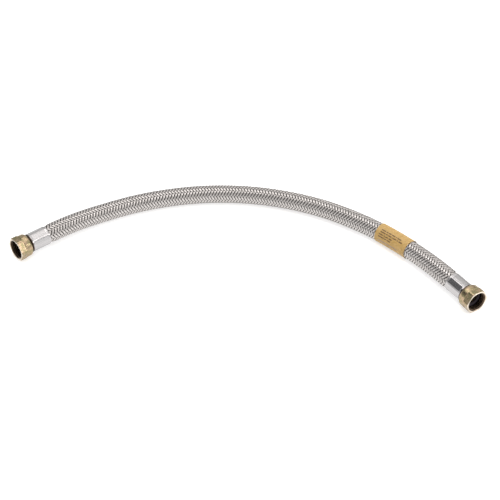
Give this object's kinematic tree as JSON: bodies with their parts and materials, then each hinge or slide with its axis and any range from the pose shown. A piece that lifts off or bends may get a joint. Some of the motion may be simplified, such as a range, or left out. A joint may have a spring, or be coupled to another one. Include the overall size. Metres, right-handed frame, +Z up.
{
  "type": "braided stainless water hose",
  "caption": "Flexible rubber water hose in a stainless wire braid, crimped steel ferrules, loose brass hex swivel nuts with washers, a wrapped paper label, lying in a shallow arc.",
  "frame": {"origin": "on the surface that the hose lies on, under the middle of its bounding box", "axes": "+X along the line from the left nut to the right nut, +Y towards the top of the arc, +Z up"},
  "size_m": [0.6445, 0.2167, 0.032],
  "materials": {
    "inner_tube": "matt moulded rubber",
    "braid": "bright drawn stainless wire, woven",
    "label": "gold printed paper",
    "ferrule": "polished stainless tube, crimped",
    "stem": "turned brass",
    "washer": "matt rubber",
    "nut": "tumbled forged brass with machined face"
  },
  "bodies": {
    "hose": {"inner_tube": "inner_tube", "braid": "braid", "label": "label", "ferrule_left": "ferrule", "ferrule_right": "ferrule", "stem_left": "stem", "stem_right": "stem", "washer_left": "washer", "washer_right": "washer"},
    "nut_left": {"swivel_nut_left": "nut"},
    "nut_right": {"swivel_nut_right": "nut"}
  },
  "joints": [
    {"name": "nut_left_swivel", "type": "hinge", "parent": "hose", "child": "nut_left", "pos_m": [-0.30919, -0.09885, 0.016], "axis": [-0.5909, -0.8067, 0], "continuous": true},
    {"name": "nut_right_swivel", "type": "hinge", "parent": "hose", "child": "nut_right", "pos_m": [0.3097, -0.09737, 0.016], "axis": [0.646, -0.7634, 0], "continuous": true}
  ]
}
